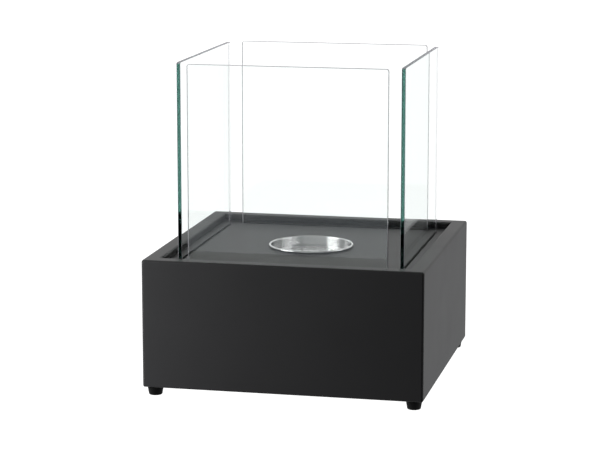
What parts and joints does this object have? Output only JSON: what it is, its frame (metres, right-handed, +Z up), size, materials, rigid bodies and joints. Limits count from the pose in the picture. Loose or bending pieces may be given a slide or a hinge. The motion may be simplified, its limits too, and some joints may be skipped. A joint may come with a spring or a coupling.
{
  "type": "bioethanol fireplace",
  "caption": "Square tabletop bioethanol fireplace: black folded-steel casing on rubber feet, glass panes standing in slots of a sunk deck, and a round drop-in burner.",
  "frame": {"origin": "middle of the footprint, on the surface that the feet stand on", "axes": "+Z up, -Y towards the front, +X to the right seen from the front"},
  "size_m": [0.35, 0.35, 0.4085],
  "materials": {
    "casing_paint": "fine matt black powder coat",
    "deck_paint": "satin black paint",
    "base_paint": "matt black paint",
    "clear_glass": "clear toughened glass with ground edges",
    "burner_steel": "polished stainless steel",
    "insert_steel": "perforated stainless steel",
    "pad_wool": "fibrous ceramic wool",
    "zinc_steel": "zinc plated",
    "seal_rubber": "heat-proof rubber strip",
    "foot_rubber": "moulded black rubber"
  },
  "bodies": {
    "housing": {"casing_shell": "casing_paint", "deck_plate": "deck_paint", "base_plate": "base_paint", "glass_channel_front": "zinc_steel", "glass_channel_right": "zinc_steel", "glass_channel_rear": "zinc_steel", "glass_channel_left": "zinc_steel", "glass_seal_front": "seal_rubber", "glass_seal_right": "seal_rubber", "glass_seal_rear": "seal_rubber", "glass_seal_left": "seal_rubber", "foot_front_left": "foot_rubber", "foot_front_right": "foot_rubber", "foot_rear_right": "foot_rubber", "foot_rear_left": "foot_rubber", "foot_screw_front_left": "zinc_steel", "foot_screw_front_right": "zinc_steel", "foot_screw_rear_right": "zinc_steel", "foot_screw_rear_left": "zinc_steel", "foot_nut_front_left": "zinc_steel", "foot_nut_front_right": "zinc_steel", "foot_nut_rear_right": "zinc_steel", "foot_nut_rear_left": "zinc_steel", "deck_nut_front_left": "zinc_steel", "deck_nut_front_right": "zinc_steel", "deck_nut_rear_right": "zinc_steel", "deck_nut_rear_left": "zinc_steel", "base_rivet_front_left": "zinc_steel", "base_rivet_front_right": "zinc_steel", "base_rivet_rear_right": "zinc_steel", "base_rivet_rear_left": "zinc_steel"},
    "front_glass": {"glass_panel_front": "clear_glass"},
    "right_glass": {"glass_panel_right": "clear_glass"},
    "rear_glass": {"glass_panel_rear": "clear_glass"},
    "left_glass": {"glass_panel_left": "clear_glass"},
    "burner": {"burner_cup": "burner_steel", "absorbent_pad": "pad_wool"},
    "insert": {"burner_insert": "insert_steel"}
  },
  "joints": [
    {"name": "front_glass_lift", "type": "slide", "parent": "housing", "child": "front_glass", "axis": [0, 0, 1], "range_m": [0, 0.04]},
    {"name": "right_glass_lift", "type": "slide", "parent": "housing", "child": "right_glass", "axis": [0, 0, 1], "range_m": [0, 0.04]},
    {"name": "rear_glass_lift", "type": "slide", "parent": "housing", "child": "rear_glass", "axis": [0, 0, 1], "range_m": [0, 0.04]},
    {"name": "left_glass_lift", "type": "slide", "parent": "housing", "child": "left_glass", "axis": [0, 0, 1], "range_m": [0, 0.04]},
    {"name": "burner_lift", "type": "slide", "parent": "housing", "child": "burner", "axis": [0, 0, 1], "range_m": [0, 0.36]},
    {"name": "insert_lift", "type": "slide", "parent": "burner", "child": "insert", "axis": [0, 0, 1], "range_m": [0, 0.03]}
  ]
}
